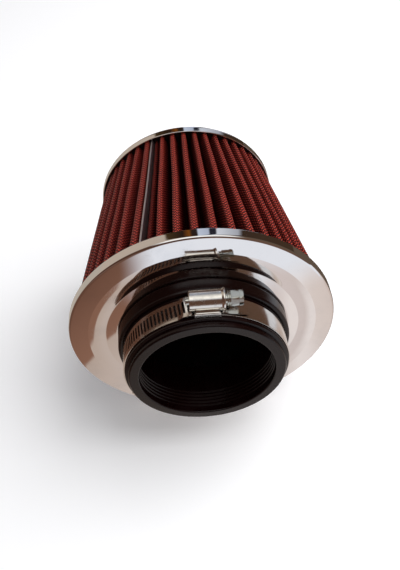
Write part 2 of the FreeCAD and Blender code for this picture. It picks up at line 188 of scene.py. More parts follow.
floor_half = 3.0
floor_z = cad_low.z
corners = np.array([[-1, -1], [1, -1], [-1, 1], [1, 1]], float) * floor_half
floor = grid_mesh("floor", np.c_[corners, np.full(4, floor_z)].reshape(2, 2, 3))
floor_material, _ = painted("pale_floor", Base_Color=(0.93, 0.93, 0.94), Roughness=0.6, Specular_IOR_Level=0.0,
                            Emission_Color=(1.0, 1.0, 1.0), Emission_Strength=0.14)
floor.data.materials.append(floor_material)


# ---- Light --------------------------------------------------------------------------------
# A soft lamp lights the filter and the pale floor. What the bright metal mirrors is a room: a brown table
# under it, a wide bright window above the viewer, and a dark wall with a few panes behind.
def from_screen(red, green, blue):
    """Linear colour of a display colour given from 0 to 255."""
    value = np.array([red, green, blue]) / 255
    return tuple(np.where(value <= 0.04045, value / 12.92, ((value + 0.055) / 1.055) ** 2.4))


world = bpy.data.worlds.new("studio")
world.use_nodes = True
bpy.context.scene.world = world
room = Nodes(world.node_tree)
towards = room.add("ShaderNodeTexCoord").outputs["Generated"]
x, y, z = room.split(towards)
behind = room.bands(room.math("DIVIDE", x, room.math("MAXIMUM", y, 0.02)), [
    (-0.47, (190, 176, 162)), (-0.43, (66, 50, 30)), (-0.20, (40, 28, 22)), (-0.10, (120, 70, 24)),
    (-0.06, (44, 32, 28)), (0.02, (44, 34, 30)), (0.04, (196, 206, 224)), (0.19, (176, 186, 206)),
    (0.21, (36, 36, 44)), (0.29, (40, 40, 50)), (0.31, (214, 220, 230)), (0.60, (170, 174, 184)),
    (0.66, (60, 46, 36)), (1.1, (66, 50, 38)), (1.5, (96, 84, 72))])
ahead = room.mix(room.ramp(x, -0.3, 0.6), from_screen(84, 58, 46), from_screen(104, 80, 66))
wall = room.mix(room.ramp(y, -0.05, 0.05), ahead, behind)
upward = room.math("MAXIMUM", z, 0.02)
side = room.ramp(room.math("ABSOLUTE", room.math("DIVIDE", x, upward)), 0.40, 0.75, 1.0, 0.0)
front = room.ramp(room.math("DIVIDE", y, upward), -1.05, -0.45)
rear = room.ramp(room.math("DIVIDE", y, upward), -0.20, 0.50, 1.0, 0.0)
window = room.math("MULTIPLY", side, room.math("MULTIPLY", front, rear))
pane = room.mix(front, (0.90, 1.05, 1.25), (1.22, 1.21, 1.17))
seen = room.mix(window, wall, pane)
path = room.add("ShaderNodeLightPath")
plain = room.mix(path.outputs["Is Camera Ray"], (0.40, 0.40, 0.41), (0.955, 0.955, 0.955))
room.put(world.node_tree.nodes["Background"].inputs["Color"],
         room.mix(path.outputs["Is Glossy Ray"], plain, seen))


def soft_lamp(name, place, target, size, power):
    lamp = bpy.data.objects.new(name, bpy.data.lights.new(name, "AREA"))
    lamp.data.shape = "RECTANGLE"
    lamp.data.size, lamp.data.size_y = size
    lamp.data.energy = power
    lamp.location = place
    lamp.rotation_euler = (Vector(target) - Vector(place)).to_track_quat("-Z", "Y").to_euler()
    lamp.visible_glossy = False
    bpy.context.scene.collection.objects.link(lamp)


soft_lamp("key_lamp", (0.48, 0.12, 0.80), (0, 0.05, 0), (1.0, 1.0), 11.0)


def glow(name, points, tree_color):
    """Card that only mirror-like surfaces see."""
    card = grid_mesh(name, points)
    material = bpy.data.materials.new(name)
    material.use_nodes = True
    material.node_tree.nodes.clear()
    nodes = Nodes(material.node_tree)
    emission = nodes.add("ShaderNodeEmission", {"Color": tree_color(nodes)})
    nodes.add("ShaderNodeOutputMaterial", {"Surface": emission.outputs[0]})
    card.data.materials.append(material)
    for ray in ("camera", "diffuse", "transmission", "volume_scatter", "shadow"):
        setattr(card, "visible_" + ray, False)


def table_color(nodes):
    """Brown wood at the left, paler towards the right and far in front, where the window lights it."""
    x, y, _ = nodes.split(nodes.place())
    near = nodes.bands(nodes.math("MULTIPLY_ADD", y, 0.3, nodes.math("ADD", x, 0.0064)), [
        (-0.150, (104, 72, 58)), (-0.079, (142, 104, 86)), (-0.0765, (190, 172, 160)),
        (-0.03, (206, 192, 184)), (0.0, (230, 220, 216)), (0.05, (218, 206, 203)), (0.068, (216, 204, 200)),
        (0.084, (240, 232, 229)), (0.092, (240, 231, 228)), (0.104, (228, 216, 210)), (0.15, (214, 198, 190))])
    far = nodes.math("MULTIPLY", nodes.ramp(y, -0.075, -0.15), nodes.ramp(x, -0.085, -0.045))
    front = nodes.mix(far, near, from_screen(240, 244, 252))
    front = nodes.mix(nodes.ramp(y, -0.34, -0.55), front, from_screen(118, 94, 84))
    rear = nodes.mix(nodes.ramp(x, -0.04, 0.06), from_screen(186, 176, 164), from_screen(96, 82, 70))
    return nodes.mix(nodes.ramp(y, 0.03, 0.07), front, rear)


glow("brown_table", np.c_[corners, np.full(4, floor_z + 0.0005)].reshape(2, 2, 3), table_color)
floor.visible_glossy = False


# ---- Inlet neck ---------------------------------------------------------------------------
# One moulding of black rubber. Its rounded mouth, clamp seat and stop collar are in front of the
# base plate; its root lip is behind it. Five small grooves in the bore grip the pipe.
mm = 0.001


def rounded(corners, steps=8):
    """Closed outline through (x, y, radius) corners: each is an arc of its own radius that touches both sides,
    and each straight side gets a point close to each end, so that it stays flat when shaded."""
    spots = np.array([c[:2] for c in corners], float)
    back = np.roll(spots, 1, 0) - spots
    ahead = np.roll(spots, -1, 0) - spots
    outline = []
    for here, a, b, (_, _, radius) in zip(spots, back, ahead, corners):
        a_size, b_size = np.hypot(*a), np.hypot(*b)
        a, b = a / a_size, b / b_size
        if radius == 0:
            outline += [here + a * a_size * 0.02, here, here + b * b_size * 0.02]
            continue
        half = np.arccos(np.clip(a @ b, -1, 1)) / 2
        reach = min(radius / np.tan(half), 0.48 * a_size, 0.48 * b_size)
        radius = reach * np.tan(half)
        middle = (a + b) / np.hypot(*(a + b))
        centre = here + middle * radius / np.sin(half)
        first, last = here + a * reach - centre, here + b * reach - centre
        sweep = np.pi - 2 * half
        t = np.linspace(0, 1, steps)[:, None]
        arc = (np.sin((1 - t) * sweep) * first + np.sin(t * sweep) * last) / np.sin(sweep)
        outline.append(centre + first + a * min(0.05 * a_size, 0.4))
        outline += list(centre + arc)
        outline.append(centre + last + b * min(0.05 * b_size, 0.4))
    return np.array(outline)


def turned(name, outline, around=288):
    """Solid of revolution about the filter's axis: the outline's (radius, y) in millimetres, carried round
    a circle."""
    turn = np.linspace(0, 2 * np.pi, around, endpoint=False)[:, None]
    radius, y = outline[:, 0] * mm, outline[:, 1] * mm
    ring = np.stack([radius * np.cos(turn), np.broadcast_to(y, (around, len(y))), radius * np.sin(turn)], -1)
    return facing_out(grid_mesh(name, ring, wrap_rows=True, wrap_columns=True))


def facing_out(piece):
    """Turns a closed mesh's faces over if its signed volume is negative."""
    mesh = piece.data
    places = np.empty(len(mesh.vertices) * 3)
    mesh.vertices.foreach_get("co", places)
    corner = places.reshape(-1, 3)
    mesh.calc_loop_triangles()
    index = np.empty(len(mesh.loop_triangles) * 3, np.int32)
    mesh.loop_triangles.foreach_get("vertices", index)
    a, b, c = corner[index.reshape(-1, 3)].transpose(1, 0, 2)
    if np.einsum("ij,ij->i", a, np.cross(b, c)).sum() < 0:
        mesh.flip_normals()
    return piece


bore_r = 38.0
seat_r = 45.8
mouth_r = 44.0
collar_r = 49.1
base_face_y = 29.4
base_back_y = 30.2
root_back_y = 33.2
collar_y = 20.0
groove_pitch = 2.3
grip_corners = []
for i in range(5):
    groove_y = 4.3 + groove_pitch * i
    grip_corners += [(bore_r, groove_y - 0.7, 0.25), (bore_r + 0.6, groove_y - 0.35, 0.25),
                     (bore_r + 0.6, groove_y + 0.35, 0.25), (bore_r, groove_y + 0.7, 0.25)]
neck_corners = [
    (bore_r, 0, 0.9), (bore_r + 5.4, 0, 0.8), (mouth_r, 0.8, 0.5), (mouth_r, 2.2, 0.4),
    (mouth_r - 0.5, 2.5, 0.25), (mouth_r - 0.5, 2.9, 0.25), (seat_r, 3.5, 0.7),
    (seat_r, collar_y, 0.5), (collar_r, collar_y, 1.8), (collar_r, base_face_y - 0.05, 1.8),
    (bore_r + 4.5, base_face_y - 0.05, 0.1), (bore_r + 4.5, base_back_y + 0.05, 0.1),
    (bore_r + 10, base_back_y + 0.05, 0.1), (bore_r + 10, root_back_y, 1.0), (bore_r, root_back_y, 0.9),
] + grip_corners[::-1]
neck = turned("neck", rounded(neck_corners))


def effect(name, inputs, outputs, build):
    """Node group built once. inputs and outputs are (name, socket kind) pairs, and build(nodes, *inputs)
    returns the outputs in order."""
    tree = bpy.data.node_groups.new(name, "ShaderNodeTree")
    for way, sockets in (("INPUT", inputs), ("OUTPUT", outputs)):
        for label, kind in sockets:
            tree.interface.new_socket(label, in_out=way, socket_type="NodeSocket" + kind)
    start, end = tree.nodes.new("NodeGroupInput"), tree.nodes.new("NodeGroupOutput")
    for socket, value in zip(end.inputs, build(Nodes(tree), *start.outputs[:len(inputs)])):
        tree.links.new(value, socket)
    return tree


def wear_nodes(nodes, place, size):
    """Soft smudges, and fine straight scratches in two directions."""
    scale = nodes.math("DIVIDE", 1.0, size)
    smudge = nodes.ramp(nodes.noise(place, scale, 4.0, 0.6), 0.45, 0.7)
    lines = []
    for across in ((40.0, 3.0, 9.0), (4.0, 30.0, 50.0)):
        fine = nodes.noise(nodes.stretch(place, across), scale, 1.0)
        off = nodes.math("ABSOLUTE", nodes.math("SUBTRACT", fine, 0.5))
        lines.append(nodes.ramp(off, 0.0, 0.012, 1.0, 0.0))
    return smudge, nodes.math("MULTIPLY", nodes.math("MAXIMUM", *lines), smudge)


wear = effect("wear", [("Place", "Vector"), ("Size", "Float")], [("Smudge", "Float"), ("Scratch", "Float")],
              wear_nodes)


def grain_nodes(nodes, place, size):
    """Height of a fine moulded or cast skin: small soft grain with a few larger swells."""
    fine = nodes.noise(place, nodes.math("DIVIDE", 1.0, size), 2.0)
    broad = nodes.noise(place, nodes.math("DIVIDE", 0.12, size), 2.0)
    return (nodes.math("ADD", fine, nodes.math("MULTIPLY", broad, 1.5)),)


grain = effect("grain", [("Place", "Vector"), ("Size", "Float")], [("Height", "Float")], grain_nodes)


def use(nodes, tree, **inputs):
    """Places an effect and returns its outputs."""
    return nodes.add("ShaderNodeGroup", inputs, node_tree=tree).outputs


rubber, nodes = painted("moulded_rubber", Specular_IOR_Level=0.30)
place = nodes.place()
smudge, scratch = use(nodes, wear, Place=place, Size=0.018)[:2]
height = use(nodes, grain, Place=place, Size=0.0005)[0]
nodes.put(nodes.shader.inputs["Base Color"],
          nodes.mix(smudge, (0.0045, 0.0006, 0.0006), (0.0075, 0.0020, 0.0020)))
nodes.put(nodes.shader.inputs["Roughness"], nodes.ramp(smudge, 0.0, 1.0, 0.27, 0.36))
nodes.put(nodes.shader.inputs["Normal"], nodes.bump(height, 0.00002, 0.35))
neck.data.materials.append(rubber)
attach(neck, "filter")
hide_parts("rubber_neck")


# ---- Base plate ---------------------------------------------------------------------------
# A dish pressed from one sheet of steel, polished and chromed: a flat ring round the neck, a slope,
# a flat outer ring and a rolled rim that hides the ends of the pleats.
base_r = 77.0
sheet = 0.8
edge_y = base_face_y + 1.8
base_rim_y = edge_y + 6.2
hole_r = bore_r + 4.53
valley_r = collar_r + 6.9
crest_r, crease_r = valley_r + 4.8, valley_r + 10
pressing = [(collar_r + 0.9, 0.0, 1.0), (valley_r, 0.75, 3.0), (crest_r, 0.25, 50.0), (crease_r, 0.35, 2.0)]
plate = turned("base_plate", rounded(
    [(hole_r, base_face_y, 0.1)]
    + [(r, base_face_y + back, bend) for r, back, bend in pressing]
    + [(base_r, edge_y, 1.5), (base_r, base_rim_y, 0.35), (base_r - sheet, base_rim_y, 0.35),
       (base_r - sheet, edge_y + sheet, 0.7)]
    + [(r, base_back_y + back, bend) for r, back, bend in pressing[::-1]]
    + [(hole_r, base_back_y, 0.1)], 12), 360)
chrome, nodes = painted("polished_chrome", Metallic=1.0)
place = nodes.place()
smudge, scratch = use(nodes, wear, Place=place, Size=0.03)[:2]
waves = nodes.bump(nodes.noise(place, 38.0, 1.0), 0.0005, 0.35)
nodes.put(nodes.shader.inputs["Base Color"], nodes.mix(smudge, (0.84, 0.82, 0.81), (0.78, 0.77, 0.77)))
nodes.put(nodes.shader.inputs["Roughness"],
          nodes.math("ADD", nodes.ramp(smudge, 0.0, 1.0, 0.035, 0.075), nodes.math("MULTIPLY", scratch, 0.1)))
nodes.put(nodes.shader.inputs["Normal"], nodes.bump(scratch, 0.00001, 0.3, waves))
plate.data.materials.append(chrome)
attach(plate, "filter")
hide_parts("base_flange")


# ---- Cap ----------------------------------------------------------------------------------
# The same chromed sheet, pressed to a shallow dish with a round panel let into its face.
cap_r = 57.7
cap_rim_y = 145.9
cap_top_y = 152.0
panel_r, panel_y = 45.0, 150.8
cap = turned("cap", rounded([
    (0.02, panel_y, 0), (panel_r, panel_y, 0.7), (panel_r + 1.2, cap_top_y, 0.7),
    (cap_r, cap_top_y, 2.2), (cap_r, cap_rim_y, 0.35), (cap_r - sheet, cap_rim_y, 0.35),
    (cap_r - sheet, cap_top_y - sheet, 1.4), (panel_r + 1.2, cap_top_y - sheet, 0.7),
    (panel_r, panel_y - sheet, 0.7), (0.02, panel_y - sheet, 0),
]))
cap.data.materials.append(chrome)
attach(cap, "filter")
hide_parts("top_cap")


# ---- Pleated element ----------------------------------------------------------------------
# Oiled red cotton gauze under woven wire, folded together into fifty pleats and tapered to the cap.
pleat_count = 50
seam_degrees = 114.0
tip_r, fold_r = 74.5, 60.0
low_pleat = 3.0
cap_scale = 55.7 / 74.5
element_low, element_high = 35.5, 147.8
pleat_angle = 2 * np.pi / pleat_count
sheet_depth = 1.2


def fold_line(depth, drop=0.0):
    """One pleat's outline, in millimetres across and out from the axis, on the surface that lies depth inside
    the outer one: a rounded tip, two straight panels and half a rounded foot at each side."""
    half = pleat_angle / 2
    top = tip_r - drop
    tip = np.array([1.8, top])
    foot = np.array([fold_r * np.sin(half) - 0.4 * np.cos(half), fold_r * np.cos(half) + 0.4 * np.sin(half)])
    along = (foot - tip) / np.hypot(*(foot - tip))
    start = tip + depth * np.array([along[1], -along[0]])
    upper = start + along * (top - depth - start[1]) / along[1]
    out = np.array([np.sin(half), np.cos(half)])
    lower = start + along * (fold_r - depth - start @ out) / (along @ out)
    middle = out * (fold_r - depth)
    corners = [(-middle[0], middle[1], 0), (-lower[0], lower[1], 0.35), (-upper[0], upper[1], 1.75),
               (upper[0], upper[1], 1.75), (lower[0], lower[1], 0.35), (middle[0], middle[1], 0)]
    return rounded(corners, 6)[2:-1]


def settled(degrees, t):
    """Angle, in radians, where the unevenly spread pleats really stand: t is 0 at the base and 1 at the cap."""
    base = np.interp(degrees, [50, 60, 67, 74, 82, 89, 96, 103, 110, 114, 121, 128, 150, 230],
                     [0.6, 1.2, 1.1, 2.6, 3.3, 4.0, 4.3, 4.8, 3.4, 2.0, 3.0, 3.5, 3.3, 0.5], period=360)
    cap = np.interp(degrees, [20, 60, 82, 103, 110, 114, 121, 128, 200],
                    [2.0, 3.3, 2.9, 3.3, 0.5, -1.1, -0.3, 0.0, 0.5], period=360)
    return np.radians(degrees + base + (cap - base) * t)


def pleat_skin(depth, rows):
    """Points and cloth coordinates of a pleated cone: the fold line, carried round the axis once per pleat and
    shrunk evenly from the base to the cap. Each pleat's tip sways a little to one side along its length."""
    t = np.linspace(0, 1, rows)[:, None, None]
    lines = np.array([fold_line(depth, low_pleat if i == 0 else 0) for i in range(pleat_count)])[:, ::-1]
    number = np.arange(pleat_count)[:, None]
    across, out = lines[..., 0], lines[..., 1]
    steps = np.hypot(np.diff(across, axis=1), np.diff(out, axis=1))
    length = np.cumsum(np.pad(steps, ((0, 0), (1, 0))), 1)
    length -= length[:, -1:] / 2
    lift = np.clip((out - fold_r) / (tip_r - fold_r), 0, 1)
    sway = 0.35 * np.sin(2.4 * number + 3.1) * np.sin(np.pi * t) + 0.15 * np.sin(7.7 * number + 9 * t)
    across = across + lift * sway * np.sin(np.pi * t)
    centre = np.radians(seam_degrees) - pleat_angle * (number + 0.5)
    scale = 1 + (cap_scale - 1) * t
    radius = np.hypot(out, across) * scale
    turn = settled(np.degrees(centre - np.arctan2(across, out)), t)
    x, z = radius * np.cos(turn), radius * np.sin(turn)
    y = np.broadcast_to(element_low + (element_high - element_low) * t, x.shape)
    cloth = np.stack([length * scale + 13.7 * number, y], -1)
    return np.stack([x, y, z], -1).reshape(rows, -1, 3) * mm, cloth.reshape(rows, -1, 2) * mm


outer, outer_cloth = pleat_skin(0.0, 36)
inner, inner_cloth = pleat_skin(sheet_depth, 5)
pleats = facing_out(grid_mesh("pleats", np.vstack([outer, inner[::-1]]), wrap_rows=True, wrap_columns=True,
                              uv=np.vstack([outer_cloth, inner_cloth[::-1]])))


def wire_nodes(nodes, place, pitch):
    """Two sets of round wires that cross at right angles, over and under in turn, laid cornerwise to the
    cloth."""
    u, v, _ = nodes.split(nodes.stretch(place, (0.7071, 0.7071, 0.0)))
    heights = []
    for a, b, turn in ((nodes.math("ADD", u, v), nodes.math("SUBTRACT", u, v), 0.0),
                       (nodes.math("SUBTRACT", u, v), nodes.math("ADD", u, v), np.pi)):
        a = nodes.math("DIVIDE", a, pitch)
        b = nodes.math("DIVIDE", b, pitch)
        off = nodes.math("ABSOLUTE", nodes.math("SUBTRACT", nodes.math("FRACT", a), 0.5))
        wire = nodes.ramp(off, 0.0, 0.30, 1.0, 0.0)
        which = nodes.math("MULTIPLY", nodes.math("ADD", nodes.math("FLOOR", a), b), np.pi)
        lift = nodes.math("MULTIPLY_ADD", nodes.math("SINE", nodes.math("ADD", which, turn)), 0.38, 0.62)
        heights.append(nodes.math("MULTIPLY", wire, lift))
    height = nodes.math("MAXIMUM", *heights)
    # The Wire mask keeps to the crown of each wire where it rides over the other, so what it colours is partly
    # the wire and partly a painted highlight.
    return height, nodes.ramp(height, 0.56, 0.84)


wires = effect("woven_wire", [("Place", "Vector"), ("Pitch", "Float")],
               [("Height", "Float"), ("Wire", "Float")], wire_nodes)
wire_pitch = 0.0017


def woven(nodes):
    """The wires' height and mask, laid on the cloth's own coordinates."""
    cloth = nodes.add("ShaderNodeUVMap", uv_map="cloth").outputs[0]
    return use(nodes, wires, Place=cloth, Pitch=wire_pitch)[:2]


gauze, nodes = painted("oiled_gauze", Specular_IOR_Level=0.5)
place = nodes.place()
x, y, z = nodes.split(place)
height, wire = woven(nodes)
fibres = nodes.noise(place, 1800.0, 3.0)
blotches = nodes.noise(place, 60.0, 2.0)
# Painted shade: the further a point lies below the pleat tips, the darker the gauze is painted and the less it
# shines, as the shade down in the folds.
radius = nodes.math("SQRT", nodes.math("ADD", nodes.math("MULTIPLY", x, x), nodes.math("MULTIPLY", z, z)))
tip_here = nodes.ramp(y, element_low * mm, element_high * mm, tip_r * mm, tip_r * cap_scale * mm, "LINEAR")
depth = nodes.math("SUBTRACT", tip_here, radius)
valley_shade = nodes.math("MULTIPLY_ADD", nodes.ramp(depth, 0.0001, 0.0018), 0.55,
                  nodes.ramp(depth, 0.0012, 0.009, 0.0, 0.42))
cloth = nodes.mix(nodes.ramp(fibres, 0.35, 0.7), (0.014, 0.0008, 0.0008), (0.050, 0.0026, 0.0022))
cloth = nodes.mix(nodes.ramp(blotches, 0.4, 0.7, 0.0, 0.5), cloth, (0.018, 0.0012, 0.0012))
# The pale red on the wires is their own colour and a painted highlight too, since it lies only where each wire
# rides high.
colour = nodes.mix(wire, cloth, (0.92, 0.090, 0.048))
# Painted shade: the near-black red of the valleys, laid over the gauze's own colour.
nodes.put(nodes.shader.inputs["Base Color"], nodes.mix(valley_shade, colour, (0.020, 0.0012, 0.0014)))
nodes.put(nodes.shader.inputs["Roughness"], nodes.ramp(wire, 0.0, 1.0, 0.75, 0.38))
nodes.put(nodes.shader.inputs["Specular IOR Level"],
          nodes.math("MULTIPLY", nodes.math("SUBTRACT", 1.0, valley_shade), 0.5))
nodes.put(nodes.shader.inputs["Normal"],
          nodes.bump(height, 0.00025, 0.9, nodes.bump(fibres, 0.00004, 0.5)))
pleats.data.materials.append(gauze)
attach(pleats, "filter")
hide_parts("outer_screen", "pleated_gauze")


# ---- Inner screen -------------------------------------------------------------------------
# The same woven wire behind the gauze, as a thin sheet of its own. It is seen only through the cage's holes.
screen, nodes = painted("inner_wire", Base_Color=(0.02, 0.004, 0.004), Metallic=0.3)
height, wire = woven(nodes)
nodes.put(nodes.shader.inputs["Roughness"], nodes.ramp(wire, 0.0, 1.0, 0.8, 0.4))
nodes.put(nodes.shader.inputs["Normal"], nodes.bump(height, 0.0002, 0.6))
outer, outer_cloth = pleat_skin(sheet_depth + 0.05, 14)
inner, inner_cloth = pleat_skin(sheet_depth + 0.25, 5)
lining = facing_out(grid_mesh("lining", np.vstack([outer, inner[::-1]]), wrap_rows=True, wrap_columns=True,
                              uv=np.vstack([outer_cloth, inner_cloth[::-1]])))
lining.data.materials.append(screen)
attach(lining, "filter")
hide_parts("inner_screen")


# ---- Seam strip ---------------------------------------------------------------------------
# A thin steel channel folded over the two ends of the pleated sheet and squeezed shut. Its edge has a shallow
# groove.
strip_half = 0.6
strip_deep = 12.0
seam_outline = rounded([(-strip_half, tip_r - strip_deep, 0.2), (strip_half, tip_r - strip_deep, 0.2),
                        (strip_half, tip_r, 0.35), (0.12, tip_r, 0.1), (0, tip_r - 0.22, 0.1),
                        (-0.12, tip_r, 0.1), (-strip_half, tip_r, 0.35)], 5)
t = np.linspace(0, 1, 24)[:, None]
seam_turn = settled(seam_degrees, t)
scale = (1 + (cap_scale - 1) * t) * mm
across = (seam_outline[:, 0] + 0.12 * np.sin(9 * t) * np.sin(np.pi * t)) * scale
out = seam_outline[:, 1] * scale
seam_y = np.broadcast_to((element_low + (element_high - element_low) * t) * mm, out.shape)
seam = facing_out(grid_mesh("seam", np.stack([
    out * np.cos(seam_turn) - across * np.sin(seam_turn), seam_y,
    out * np.sin(seam_turn) + across * np.cos(seam_turn)], -1), wrap_columns=True, ends=True))


def brushed_nodes(nodes, place, size):
    """Fine lines that run round the filter's axis, as rolling leaves on strip, and their height."""
    x, y, z = nodes.split(place)
    angle = nodes.math("ARCTAN2", z, x)
    along, across = nodes.math("MULTIPLY", angle, 0.02), nodes.math("MULTIPLY", y, 6.0)
    line = nodes.add("ShaderNodeCombineXYZ", {0: along, 1: across}).outputs[0]
    return (nodes.noise(line, nodes.math("DIVIDE", 1.0, size), 3.0, 0.6),)


brushed = effect("rolled_lines", [("Place", "Vector"), ("Size", "Float")], [("Height", "Float")], brushed_nodes)


def steel(name, colour, rough, lines):
    """Bright rolled steel: smudged, finely scratched and marked by the rolls."""
    material, nodes = painted(name, Metallic=1.0)
    place = nodes.place()
    smudge, scratch = use(nodes, wear, Place=place, Size=0.006)[:2]
    rolled = use(nodes, brushed, Place=place, Size=0.003)[0]
    nodes.put(nodes.shader.inputs["Base Color"], nodes.mix(smudge, colour, tuple(0.86 * np.array(colour))))
    nodes.put(nodes.shader.inputs["Roughness"],
              nodes.math("ADD", nodes.ramp(smudge, 0.0, 1.0, rough, rough + 0.06),
                         nodes.math("MULTIPLY", scratch, 0.12)))
    waves = nodes.bump(nodes.noise(place, 160.0, 2.0), 0.0001, 0.3)
    nodes.put(nodes.shader.inputs["Normal"], nodes.bump(rolled, 0.00001, lines, waves))
    return material


seam_steel = steel("seam_steel", (0.72, 0.66, 0.67), 0.42, 0.4)
seam.data.materials.append(seam_steel)
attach(seam, "filter")
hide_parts("seam_strip")


# ---- Cage and potting ---------------------------------------------------------------------
# The cage is pierced sheet, coloured near black. The pottings are cast resin, dark red-brown, with a slightly
# pitted skin.
dark_cage, nodes = painted("black_cage", Specular_IOR_Level=0.4)
place = nodes.place()
smudge, scratch = use(nodes, wear, Place=place, Size=0.012)[:2]
nodes.put(nodes.shader.inputs["Base Color"], nodes.mix(scratch, (0.0035, 0.0022, 0.0022), (0.02, 0.018, 0.017)))
nodes.put(nodes.shader.inputs["Roughness"], nodes.ramp(smudge, 0.0, 1.0, 0.55, 0.75))
height = use(nodes, grain, Place=place, Size=0.0006)[0]
nodes.put(nodes.shader.inputs["Normal"], nodes.bump(height, 0.00003, 0.4))


def finish(node, material):
    """Gives one of the carried-over solids its material."""
    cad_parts[node].data.materials.clear()
    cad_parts[node].data.materials.append(material)


finish("inner_cage", dark_cage)

resin, nodes = painted("cast_resin", Specular_IOR_Level=0.4)
place = nodes.place()
pits = nodes.add("ShaderNodeTexVoronoi", {"Vector": place, "Scale": 420.0}).outputs["Distance"]
height = use(nodes, grain, Place=place, Size=0.0012)[0]
nodes.put(nodes.shader.inputs["Base Color"],
          nodes.mix(nodes.noise(place, 90.0), (0.010, 0.0035, 0.003), (0.022, 0.008, 0.007)))
nodes.put(nodes.shader.inputs["Roughness"], nodes.ramp(height, 0.8, 1.6, 0.42, 0.6))
nodes.put(nodes.shader.inputs["Normal"],
          nodes.bump(nodes.ramp(pits, 0.0, 0.18), 0.00015, 0.5, nodes.bump(height, 0.00008, 0.4)))
finish("base_potting", resin)
finish("top_potting", resin)


# ---- Clamp band ---------------------------------------------------------------------------
# Stainless strip, rolled into a loop. It starts under the saddle and laps over the slotted strip's back end.
clamp_y = 11.5
band_half = 6.35
band_sheet = 0.7
loop_r = 45.95
lap_r = 46.8
lap_end = 227.2
band_ends = (205, 457)
edge_round = 0.22


def strip_section(sheet, half):
    """Section of a strip: (outwards, y) round its rounded outline, with its inner face at zero."""
    return rounded([(0, clamp_y - half, edge_round), (sheet, clamp_y - half, edge_round),
                    (sheet, clamp_y + half, edge_round), (0, clamp_y + half, edge_round)], 5)


def bent_strip(name, degrees, radius, section):
    """Closed strip bent round the axis: the section stands on a line whose radius is given at each angle."""
    turn = np.radians(degrees)[:, None]
    r = (np.asarray(radius)[:, None] + section[:, 0]) * mm
    y = np.broadcast_to(section[:, 1] * mm, r.shape)
    return facing_out(grid_mesh(name, np.stack([r * np.cos(turn), y, r * np.sin(turn)], -1),
                                wrap_columns=True, ends=True))


def eased(value, low, high, out_low, out_high):
    """Smooth step from one value to another."""
    t = np.clip((value - low) / (high - low), 0, 1)
    return out_low + (out_high - out_low) * t * t * (3 - 2 * t)


degrees = np.linspace(*band_ends, 260)
band = bent_strip("band", degrees, eased(degrees, lap_end, lap_end + 3, lap_r, loop_r),
                  strip_section(band_sheet, band_half))
stainless = steel("stainless_strip", (0.74, 0.71, 0.67), 0.11, 0.5)
band.data.materials.append(stainless)
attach(band, "clamp")
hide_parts("clamp_band")


# ---- Slotted strip ------------------------------------------------------------------------
# The other end of the same strip, punched with slanted slots for the worm. It climbs over the saddle and ends
# in a tapered tongue past the screw.
tail_r = 47.33
tip_degrees = 62.0
first_slot = 77.5
slot_step = 3.0
slot_count = 45
strip_back = 215.0
climb = (104.7, 109.2)
slot_half = np.array([0.65, 4.0])
slot_slant = np.radians(5.4)
taper_start, tip_narrow = 74.0, 2.0
tip_round, tip_corner = 1.4, 1.2


def welded(name, patches):
    """One mesh from several (rows, columns, 2) grids of (degrees, y): equal points are joined, and each point
    is laid on the strip, whose radius follows the angle."""
    flat = np.vstack([p.reshape(-1, 2) for p in patches])
    _, first, index = np.unique(np.round(flat, 5), axis=0, return_index=True, return_inverse=True)
    index = index.ravel()
    faces, start = [], 0
    for rows, columns, _ in (p.shape for p in patches):
        grid = index[start:start + rows * columns].reshape(rows, columns)
        faces.append(np.stack([grid[:-1, :-1], grid[:-1, 1:], grid[1:, 1:], grid[1:, :-1]], -1).reshape(-1, 4))
        start += rows * columns
    degrees, y = flat[first].T
    r = (eased(degrees, *climb, tail_r, loop_r) + band_sheet) * mm
    turn = np.radians(degrees)
    mesh = bpy.data.meshes.new(name)
    mesh.from_pydata(np.stack([r * np.cos(turn), y * mm, r * np.sin(turn)], -1), [], np.vstack(faces).tolist())
    mesh.polygons.foreach_set("use_smooth", np.ones(len(mesh.polygons), bool))
    piece = bpy.data.objects.new(name, mesh)
    bpy.context.scene.collection.objects.link(piece)
    return piece


def slot_cell(middle):
    """Plain strip round one slot: rows lead from the slot's rounded outline to the edges of its stretch of
    strip."""
    side = np.linspace(-1, 1, 17)
    end = np.linspace(-1, 1, 5)[1:-1]
    u = np.concatenate([np.ones(17), -end, -np.ones(17), end, [1]])
    v = np.concatenate([side, np.ones(3), -side, -np.ones(3), [-1]])
    flat_half = slot_half[1] - slot_half[0]
    on_side = np.abs(u) == 1
    slot_u = np.where(on_side, u, np.sin(u * np.pi / 2)) * slot_half[0]
    slot_v = np.where(on_side, v * flat_half, v * (flat_half + slot_half[0] * np.cos(u * np.pi / 2)))
    degree_size = tail_r * np.radians(1)
    slot = np.stack([middle + (slot_u + slot_v * np.sin(slot_slant)) / degree_size, clamp_y + slot_v], -1)
    cell = np.stack([middle + u * slot_step / 2, clamp_y + v * band_half], -1)
    t = np.array([0, 0.12, 0.4, 1])[:, None, None]
    return slot + (cell - slot) * t


v = np.linspace(-1, 1, 17)
tongue_degrees = tip_degrees + (first_slot - slot_step / 2 - tip_degrees) * np.linspace(0, 1, 24) ** 1.6
taper = np.clip((taper_start - tongue_degrees) / (taper_start - tip_degrees), 0, 1)
near_tip = np.clip(1 - (tongue_degrees - tip_degrees) / tip_round, 0, 1)
tongue_half = band_half - tip_narrow * taper
tongue_half -= tip_corner * (1 - np.sqrt(1 - near_tip ** 2))
tongue = np.stack(np.broadcast_arrays(tongue_degrees[:, None], clamp_y + tongue_half[:, None] * v), -1)
last_slot = first_slot + slot_step * (slot_count - 1)
back_degrees = np.linspace(last_slot + slot_step / 2, strip_back, 4)
back = np.stack(np.broadcast_arrays(back_degrees[:, None], clamp_y + band_half * v), -1)
cells = [slot_cell(first_slot + slot_step * i) for i in range(slot_count)]
slotted = welded("slotted_strip", [tongue, back] + cells)


